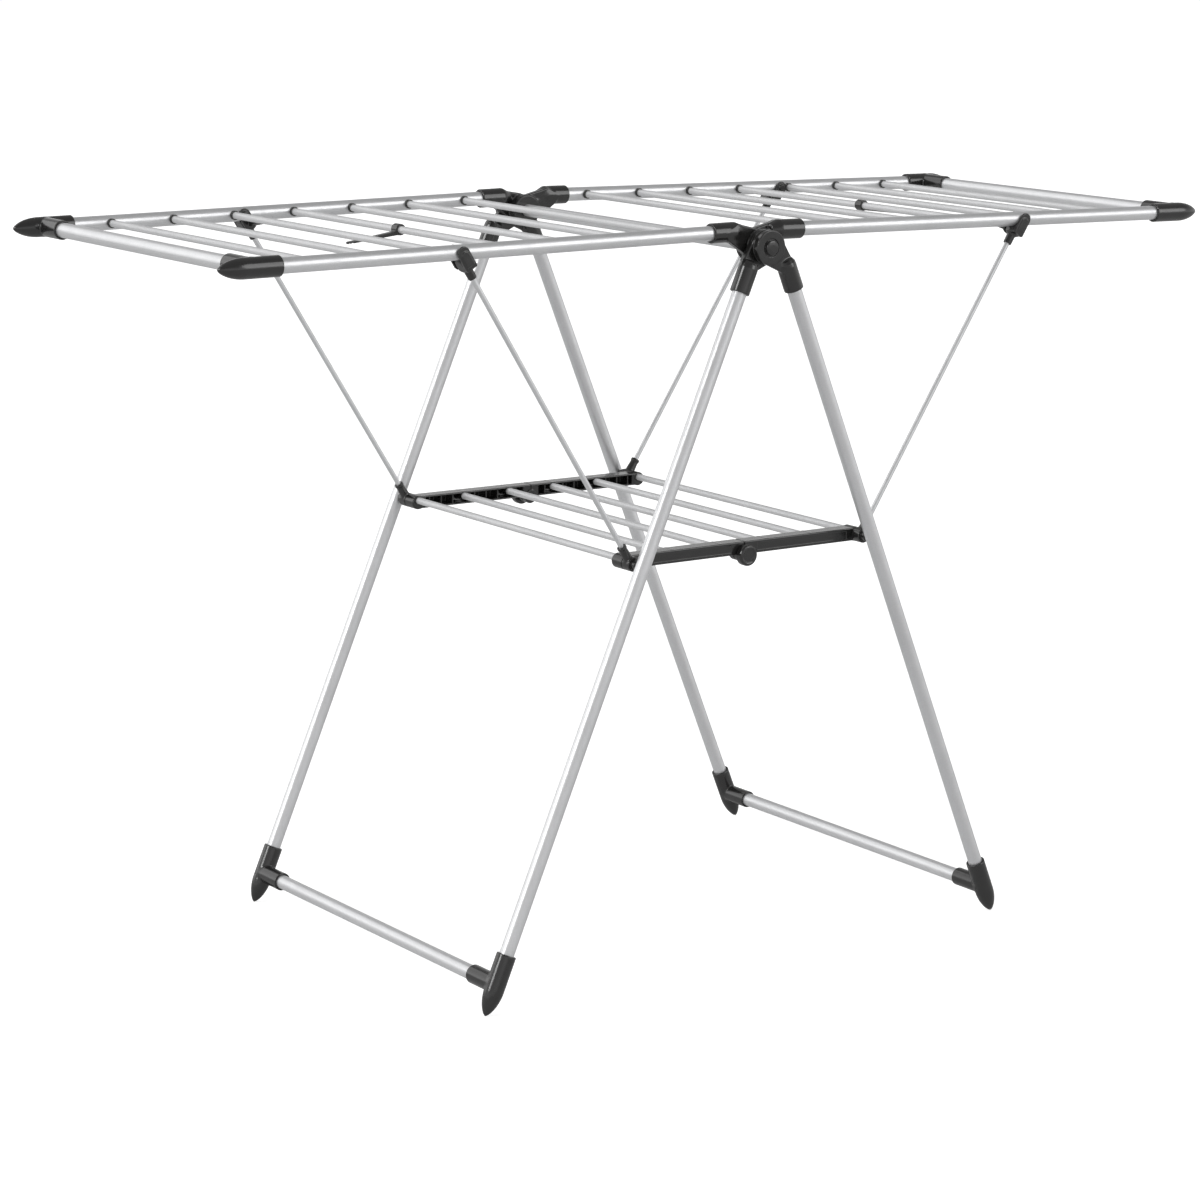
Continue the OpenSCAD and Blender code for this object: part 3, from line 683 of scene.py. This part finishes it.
def make_struts():
    """The upper clip and the lower eye of each strut."""
    clip = skin(strut_clip, (-12, RAIL_Y - 10, STRUT_LEN - 38), (12, RAIL_Y + 15, STRUT_LEN + 11),
                FITTING_STEP)
    eye = skin(strut_eye, (-11, RAIL_Y - 8, -11), (11, LEG_Y - 8, 28), FITTING_STEP)
    for side, s in SIDES.items():
        for end, e in ENDS.items():
            plastic(f"{s}_strut_clip_{e}_moulded", placed(clip, STRUT_FRAME, side, end),
                    f"{s}_strut_{e}", f"{s}_strut_clip_{e}")
            plastic(f"{s}_strut_eye_{e}_moulded", placed(eye, STRUT_FRAME, side, end),
                    f"{s}_strut_{e}", f"{s}_strut_eye_{e}")


def make_shelf():
    """The four half rails of the shelf and the two knobs at its middle joint."""
    for side, s in SIDES.items():
        shape = shelf_rail(side)
        for end, e in ENDS.items():
            plastic(f"shelf_{s}_rail_{e}_moulded", placed(shape, SHELF_FRAME, side, end),
                    f"shelf_{s}", f"shelf_{s}_rail_{e}")
    disc = skin(knob, (-14, SHELF_IN, MID_Z - 14), (14, SHELF_OUT + 11, MID_Z + 14), FITTING_STEP)
    plastic("shelf_knobs_turned", merged([placed(disc, SHELF_FRAME, RIGHT, end) for end in ENDS]),
            "shelf_left", "shelf_knobs")


# ---- Studio ----

def studio_floor():
    """One wide flat floor under the rack."""
    mesh = bpy.data.meshes.new("studio_floor")
    half = 14.0
    corners = [(-half, -half, 0), (half, -half, 0), (half, half, 0), (-half, half, 0)]
    mesh.from_pydata(corners, [], [(0, 1, 2, 3)])
    mesh.materials.append(white_floor())
    floor = bpy.data.objects.new("studio_floor", mesh)
    bpy.context.scene.collection.objects.link(floor)


def sun(name, azimuth, elevation, strength, spread_angle):
    """A very soft distant light from a direction, azimuth as the camera's."""
    data = bpy.data.lights.new(name, "SUN")
    data.energy, data.angle = strength, math.radians(spread_angle)
    light = bpy.data.objects.new(name, data)
    a, e = math.radians(azimuth), math.radians(elevation)
    toward = Vector((math.sin(a) * math.cos(e), -math.cos(a) * math.cos(e), math.sin(e)))
    light.rotation_euler = toward.to_track_quat("Z", "Y").to_euler()
    bpy.context.scene.collection.objects.link(light)


def studio_light():
    """White surround that dims towards the ceiling, and soft key, fill and rear light."""
    world = bpy.data.worlds.new("studio")
    world.use_nodes = True
    tree = world.node_tree
    back = tree.nodes["Background"]
    place = tree.nodes.new("ShaderNodeTexCoord")
    parts = tree.nodes.new("ShaderNodeSeparateXYZ")
    link(tree, place.outputs["Generated"], parts.inputs["Vector"])
    dome = spread(tree, parts.outputs["Z"], 0.98, 0.3, 0.0, 0.55)
    path = tree.nodes.new("ShaderNodeLightPath")
    sky = tree.nodes.new("ShaderNodeMix")
    link(tree, path.outputs["Is Camera Ray"], sky.inputs["Factor"])
    link(tree, dome, sky.inputs["A"])
    sky.inputs["B"].default_value = 1.02
    link(tree, sky.outputs["Result"], back.inputs["Strength"])
    back.inputs["Color"].default_value = (1, 1, 1, 1)
    bpy.context.scene.world = world
    sun("key", -97, 27, 0.95, 24)
    sun("front", 36, 22, 0.75, 38)
    sun("rear", -150, 30, 0.6, 55)
    bpy.context.scene.view_settings.view_transform = "Standard"


def studio_camera():
    """Camera at the angle, distance and lens that the rack is seen with."""
    target, distance = Vector((-0.0428, 0, 0.4116)), 4.3714
    azimuth, elevation, roll = map(math.radians, (-35.368, 11.894, 0.805))
    forward = Vector((-math.sin(azimuth) * math.cos(elevation), math.cos(azimuth) * math.cos(elevation),
                      -math.sin(elevation)))
    data = bpy.data.cameras.new("camera")
    data.lens, data.sensor_width = 103.35, 36
    data.clip_end = 100
    camera = bpy.data.objects.new("camera", data)
    turn = forward.to_track_quat("-Z", "Y").to_matrix().to_4x4() @ Matrix.Rotation(roll, 4, "Z")
    camera.matrix_world = Matrix.Translation(target - forward * distance) @ turn
    bpy.context.scene.collection.objects.link(camera)
    bpy.context.scene.camera = camera


studio_camera()
dress_frame()
make_connectors()
make_hinges()
make_rail_fittings()
make_hooks()
make_struts()
make_shelf()
studio_floor()
studio_light()
